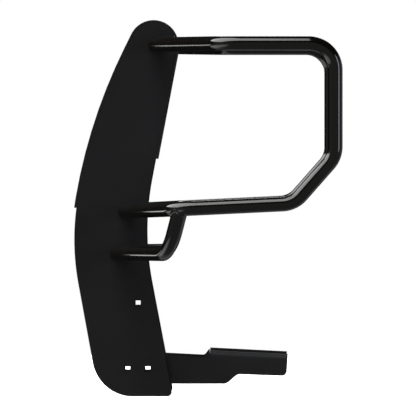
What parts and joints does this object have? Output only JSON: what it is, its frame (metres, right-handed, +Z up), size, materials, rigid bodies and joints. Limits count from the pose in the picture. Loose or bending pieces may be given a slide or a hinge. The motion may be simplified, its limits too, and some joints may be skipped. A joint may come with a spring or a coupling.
{
  "type": "front grille guard",
  "caption": "Vehicle front grille guard with shaped plate uprights, a slotted wrap-over screen, bent tube headlight guards and rearward frame brackets.",
  "frame": {"origin": "middle of the bounding box in plan, at the bottom edge of the uprights", "axes": "+X to the rear of the vehicle, -X to its front, +Z up, Y across the vehicle with the guard symmetric about Y = 0"},
  "size_m": [0.5824, 1.6498, 0.8199],
  "materials": {
    "plate_coat": "satin black powder coat",
    "tube_coat": "semi-gloss black powder coat",
    "black_hardware": "black oxide and oil",
    "zinc_insert": "zinc plated"
  },
  "bodies": {
    "root": {"brace_bolt_left": "black_hardware", "brace_bolt_right": "black_hardware", "brace_flat_washer_left": "black_hardware", "brace_flat_washer_right": "black_hardware", "brace_insert_left": "zinc_insert", "brace_insert_right": "zinc_insert", "brace_lock_washer_left": "black_hardware", "brace_lock_washer_right": "black_hardware", "brush_brace_left": "tube_coat", "brush_brace_right": "tube_coat", "brush_guard_left": "tube_coat", "brush_guard_right": "tube_coat", "cross_channel": "plate_coat", "frame_bracket_left": "plate_coat", "frame_bracket_right": "plate_coat", "lower_bolt_left": "black_hardware", "lower_bolt_right": "black_hardware", "lower_cross_tube": "tube_coat", "lower_flat_washer_left": "black_hardware", "lower_flat_washer_right": "black_hardware", "lower_insert_left": "zinc_insert", "lower_insert_right": "zinc_insert", "lower_lock_washer_left": "black_hardware", "lower_lock_washer_right": "black_hardware", "screen_sheet": "plate_coat", "upper_bolt_left": "black_hardware", "upper_bolt_right": "black_hardware", "upper_flat_washer_left": "black_hardware", "upper_flat_washer_right": "black_hardware", "upper_insert_left": "zinc_insert", "upper_insert_right": "zinc_insert", "upper_lock_washer_left": "black_hardware", "upper_lock_washer_right": "black_hardware", "upright_left": "plate_coat", "upright_right": "plate_coat"}
  },
  "joints": []
}
